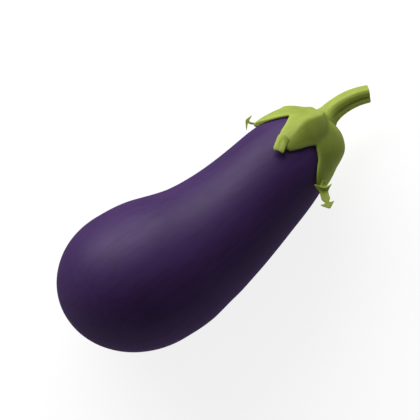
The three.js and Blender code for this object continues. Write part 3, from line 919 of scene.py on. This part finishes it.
    # The cut face dips where the core has dried.
    dip = add(tree, "ShaderNodeMath", {0: shut, 1: 1.0}, operation="SUBTRACT")
    dip = add(tree, "ShaderNodeMath", {0: dip, 1: knobs["Dish"]}, operation="MULTIPLY")
    middle = add(tree, "GeometryNodeSampleCurve", {"Curves": path, "Factor": share}, mode="FACTOR")
    side = add(tree, "ShaderNodeVectorMath", {
        0: (0, 0, 1), 1: middle.outputs["Tangent"]}, operation="CROSS_PRODUCT")
    side = add(tree, "ShaderNodeVectorMath", {0: side}, operation="NORMALIZE")
    spot = add(tree, "ShaderNodeVectorMath", {
        0: side, 1: across, 2: middle.outputs["Position"]}, operation="MULTIPLY_ADD")
    spot = add(tree, "ShaderNodeVectorMath", {
        0: middle.outputs["Tangent"], 1: dip, 2: spot}, operation="MULTIPLY_ADD")
    upwards = add(tree, "ShaderNodeCombineXYZ", {"Z": rise})
    spot = add(tree, "ShaderNodeVectorMath", {0: spot, 1: upwards}, operation="ADD")
    # Kept for the materials: paleness of the corners, the lie of the fibres, and the cut face.
    pale = add(tree, "ShaderNodeMapRange", {
        "Value": corner, "From Min": -1.0, "From Max": 1.0, "To Min": 0.1, "To Max": 0.5})
    pale = add(tree, "ShaderNodeMath", {0: pale, 1: hollow}, operation="SUBTRACT", use_clamp=True)
    tone = add(tree, "FunctionNodeCombineColor", {"Red": pale})
    toned = add(tree, "GeometryNodeStoreNamedAttribute", {
        "Geometry": sheet, "Name": "tone", "Value": tone}, data_type="FLOAT_COLOR", domain="POINT")
    fibres = add(tree, "ShaderNodeVectorMath", {
        0: sheet.outputs["UV Map"], 1: (0.035, 0.036, 0)}, operation="MULTIPLY")
    mapped = add(tree, "GeometryNodeStoreNamedAttribute", {
        "Geometry": toned, "Name": "fibres", "Value": fibres}, data_type="FLOAT2", domain="CORNER")
    past = add(tree, "FunctionNodeCompare", {0: run, 1: 1.0}, operation="GREATER_THAN")
    marked = add(tree, "GeometryNodeStoreNamedAttribute", {
        "Geometry": mapped, "Name": "cut_face", "Value": past}, data_type="BOOLEAN", domain="FACE")
    formed = add(tree, "GeometryNodeSetPosition", {"Geometry": marked, "Position": spot})
    closed = add(tree, "GeometryNodeMergeByDistance", {"Geometry": formed, "Distance": 0.00001})
    lean = add(tree, "ShaderNodeCombineXYZ", {"Y": knobs["Rest tilt"]})
    lying = add(tree, "GeometryNodeTransform", {
        "Geometry": closed, "Rotation": lean, "Translation": knobs["Rest place"]})
    real = add(tree, "GeometryNodeRealizeInstances", {"Geometry": lying})
    bark = add(tree, "GeometryNodeSetMaterial", {"Geometry": real})
    cut = add(tree, "GeometryNodeInputNamedAttribute", {"Name": "cut_face"}, data_type="BOOLEAN")
    face = add(tree, "GeometryNodeSetMaterial", {"Geometry": bark, "Selection": cut})
    add(tree, "NodeGroupOutput", {"Geometry": face})
    return tree, bark, face, {**{label: tuple(p) for label, p in points.items()}, **numbers}


def cut_face(form, c, t):
    """Freshly cut stem: a moist, pithy core inside a woody ring and a dark dried rim."""
    material, tree = new_material("cut_stem_pith")
    end = form.rest @ stem_path(form, c, t)[3]
    place = add(tree, "ShaderNodeTexCoord").outputs["Object"]
    away = add(tree, "ShaderNodeVectorMath", {0: place, 1: tuple(end)}, operation="DISTANCE")
    # The rings of the cut wander by up to 0.4 mm, in waves about 1 mm long.
    wobble = add(tree, "ShaderNodeTexNoise", {"Vector": place, "Scale": 900.0, "Detail": 3.0})
    wobble = add(tree, "ShaderNodeMath", {
        0: wobble.outputs["Fac"], 1: 0.0008, 2: -0.0004}, operation="MULTIPLY_ADD")
    away = add(tree, "ShaderNodeMath", {0: away, 1: wobble}, operation="ADD")
    share = add(tree, "ShaderNodeMapRange", {"Value": away, "From Min": 0.0, "From Max": t.tip_radius})
    rings = add(tree, "ShaderNodeValToRGB", {"Fac": share})
    stops = rings.color_ramp.elements
    stops[0].position, stops[0].color = 0.0, linear(t.cut)
    stops[1].position, stops[1].color = 1.0, linear(t.cut_dry)
    for position, code in ((0.5, t.cut), (0.62, t.cut_ring), (0.78, t.cut_bark), (0.92, t.cut_dry)):
        stop = stops.new(position)
        stop.color = linear(code)
    # Pith cells are drawn about 0.5 mm across, so that they show.
    pith = add(tree, "ShaderNodeTexVoronoi", {"Vector": place, "Scale": 2200.0})
    dents = add(tree, "ShaderNodeBump", {"Height": pith, "Strength": 0.5, "Distance": 0.0003})
    surface = add(tree, "ShaderNodeBsdfPrincipled", {
        "Base Color": rings, "Roughness": 0.7, "Normal": dents})
    add(tree, "ShaderNodeOutputMaterial", {"Surface": surface})
    return material


class EGGPLANT_OT_stem(bpy.types.Operator):
    """Draw the curved, ribbed stem from its seat to its cut end"""

    bl_idname = "eggplant.stem"
    bl_label = "Stem"

    def execute(self, context):
        form = Form(context.scene.eggplant_fruit)
        c = context.scene.eggplant_calyx
        t = context.scene.eggplant_stem
        tree, bark, face, sizes = stem_rule(form, c, t)
        bark.inputs["Material"].default_value = fleshy_green("fibrous_stem_green", c, 0.0007)
        face.inputs["Material"].default_value = cut_face(form, c, t)
        stem = grow("stem_green", tree, {**sizes, "Rest place": tuple(form.rest.translation)})
        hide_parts("stem")
        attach(stem, "root")
        return {"FINISHED"}


# ---- Studio ----

SENSOR_WIDTH = 36


def aim(thing, target, up):
    """Turns a camera or light to look at a point with a given direction upwards in view."""
    back = (thing.location - target).normalized()
    right = up.cross(back).normalized()
    matrix = Matrix((right, back.cross(right), back)).transposed()
    thing.rotation_euler = matrix.to_euler()


class EGGPLANT_OT_studio(bpy.types.Operator):
    """Set out the pale floor, the soft lights and the camera"""

    bl_idname = "eggplant.studio"
    bl_label = "Studio"

    def execute(self, context):
        g = context.scene.eggplant_studio
        scene = context.scene
        corners = [(g.floor[0] * x / 2, g.floor[1] * y / 2, 0)
                   for x, y in ((-1, -1), (1, -1), (1, 1), (-1, 1))]
        mesh = bpy.data.meshes.new("floor")
        mesh.from_pydata(corners, [], [(0, 1, 2, 3)])
        floor = link("floor", mesh)
        # Seamless paper: matte, and glowing like a light table, so that it comes out nearly white.
        paper, tree = new_material("matte_white_paper")
        surface = add(tree, "ShaderNodeBsdfPrincipled", {
            "Base Color": linear(g.floor_colour), "Roughness": 0.9,
            "Emission Color": (1, 1, 1, 1), "Emission Strength": g.floor_glow})
        add(tree, "ShaderNodeOutputMaterial", {"Surface": surface})
        mesh.materials.append(paper)
        # The lit paper doesn't mirror in the wax.
        floor.visible_glossy = False

        world = bpy.data.worlds.new("soft_room")
        world.use_nodes = True
        world.node_tree.nodes["Background"].inputs["Color"].default_value = linear(g.room_colour)
        world.node_tree.nodes["Background"].inputs["Strength"].default_value = g.fill
        scene.world = world

        # The main light points at about the middle of the fruit.
        target = Vector((0, 0, 0.035))
        lamp = bpy.data.lights.new("key_softbox", "AREA")
        lamp.shape = "RECTANGLE"
        lamp.size, lamp.size_y = g.key_size
        lamp.energy = g.key_power
        key = bpy.data.objects.new("key_softbox", lamp)
        scene.collection.objects.link(key)
        level = Vector((math.cos(g.key_heading), math.sin(g.key_heading), 0))
        rise = Vector((0, 0, math.sin(g.key_elevation)))
        key.location = target + (level * math.cos(g.key_elevation) + rise) * g.key_away
        aim(key, target, Vector((0, 0, 1)))

        lens = bpy.data.cameras.new("camera")
        lens.lens = g.lens
        lens.sensor_width = SENSOR_WIDTH
        camera = bpy.data.objects.new("camera", lens)
        scene.collection.objects.link(camera)
        # Looks straight down, with the stem towards the upper right of the frame.
        up = Vector((math.sin(g.view_turn), math.cos(g.view_turn), 0))
        middle = Vector(g.view_middle)
        camera.location = middle + Vector((0, 0, g.view_width / SENSOR_WIDTH * g.lens))
        aim(camera, middle, up)
        scene.camera = camera
        scene.view_settings.view_transform = "Standard"
        return {"FINISHED"}


# ---- Panel and registration ----


class EGGPLANT_PT_panel(bpy.types.Panel):
    """The eggplant's pieces and their sizes"""

    bl_idname = "EGGPLANT_PT_panel"
    bl_label = "Eggplant"
    bl_space_type = "VIEW_3D"
    bl_region_type = "UI"
    bl_category = "Eggplant"

    def draw(self, context):
        for operator, group in PIECES:
            column = self.layout.column(align=True)
            column.operator(operator)
            settings = getattr(context.scene, group)
            for name in settings.__annotations__:
                column.prop(settings, name)


PIECES = (
    ("eggplant.fruit", "eggplant_fruit"),
    ("eggplant.calyx", "eggplant_calyx"),
    ("eggplant.stem", "eggplant_stem"),
    ("eggplant.studio", "eggplant_studio"),
)
GROUPS = (
    ("eggplant_fruit", FruitSizes),
    ("eggplant_calyx", CalyxSizes),
    ("eggplant_stem", StemSizes),
    ("eggplant_studio", StudioSizes),
)
CLASSES = (
    FruitSizes, CalyxSizes, StemSizes, StudioSizes,
    EGGPLANT_OT_fruit, EGGPLANT_OT_calyx, EGGPLANT_OT_stem, EGGPLANT_OT_studio, EGGPLANT_PT_panel,
)


def register():
    for thing in CLASSES:
        bpy.utils.register_class(thing)
    for name, group in GROUPS:
        setattr(bpy.types.Scene, name, PointerProperty(type=group))


def unregister():
    for name, group in GROUPS:
        delattr(bpy.types.Scene, name)
    for thing in reversed(CLASSES):
        bpy.utils.unregister_class(thing)


def main():
    register()
    bpy.ops.eggplant.fruit()
    bpy.ops.eggplant.calyx()
    bpy.ops.eggplant.stem()
    bpy.ops.eggplant.studio()


if __name__ == "__main__":
    main()
